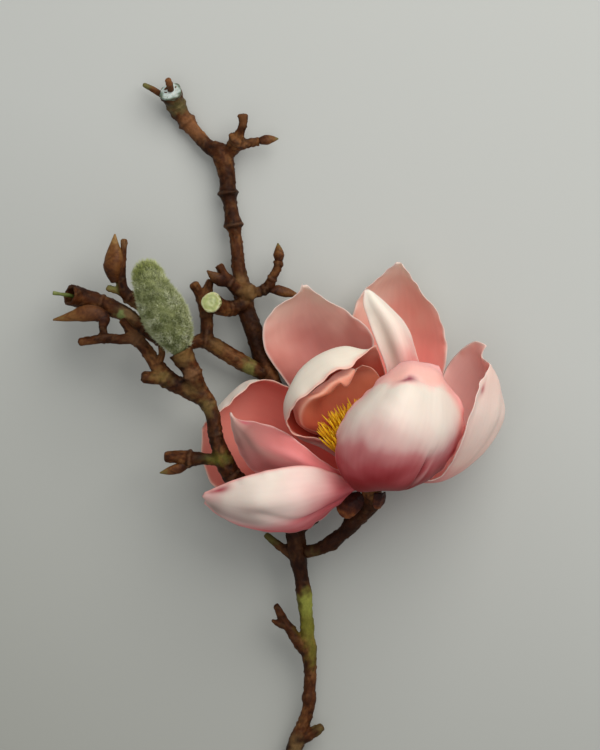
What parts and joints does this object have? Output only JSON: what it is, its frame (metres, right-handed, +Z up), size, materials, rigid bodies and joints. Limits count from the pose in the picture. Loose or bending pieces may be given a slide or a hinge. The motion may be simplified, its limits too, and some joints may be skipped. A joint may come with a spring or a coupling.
{
  "type": "saucer magnolia branch",
  "caption": "Cut spray of saucer magnolia lying down: knobbly brown twigs that push together, pointed and furry buds, and an open pink and cream flower of cupped petals.",
  "frame": {"origin": "middle of the spray's outline, on the surface it lies on", "axes": "+Y along the spray from the cut stem end to the top twig, +Z up from the surface, +X to the flower's side"},
  "size_m": [0.1983, 0.3459, 0.0903],
  "materials": {
    "bark": "rough, ridged",
    "bud_scale": "satin",
    "bud_fuzz": "short pale hairs",
    "green_cut": "smooth",
    "green_wire": "satin",
    "glue": "cured glue",
    "calyx": "satin",
    "stamens": "matt",
    "petal_pale": "soft, cream with a rose base",
    "petal_pink": "soft pink",
    "petal_salmon": "soft salmon"
  },
  "bodies": {
    "root": {"main_stem": "bark", "upper_branch": "bark", "middle_twig": "bark", "left_branch": "bark", "flower_stalk": "bark", "top_peg": "bark", "tall_bud": "bud_scale", "long_left_bud": "bud_scale", "top_right_bud": "bud_scale", "knot_upright_bud": "bud_scale", "knot_side_bud": "bud_scale", "knot_left_bud": "bud_scale", "low_left_bud": "bud_scale", "left_scale": "bud_scale", "right_scale": "bud_scale", "fuzzy_bud": "bud_fuzz", "green_cut_face": "green_cut", "green_wire": "green_wire", "glue_disc": "glue", "receptacle": "calyx", "stamen_tuft": "stamens", "petal_front": "petal_pale", "petal_right": "petal_pale", "petal_lower_left": "petal_pale", "petal_hood": "petal_pale", "petal_inner_right": "petal_pale", "petal_back_left": "petal_pink", "petal_small_left": "petal_pink", "petal_back_right": "petal_salmon", "petal_left": "petal_salmon", "petal_nested": "petal_salmon"}
  },
  "joints": []
}
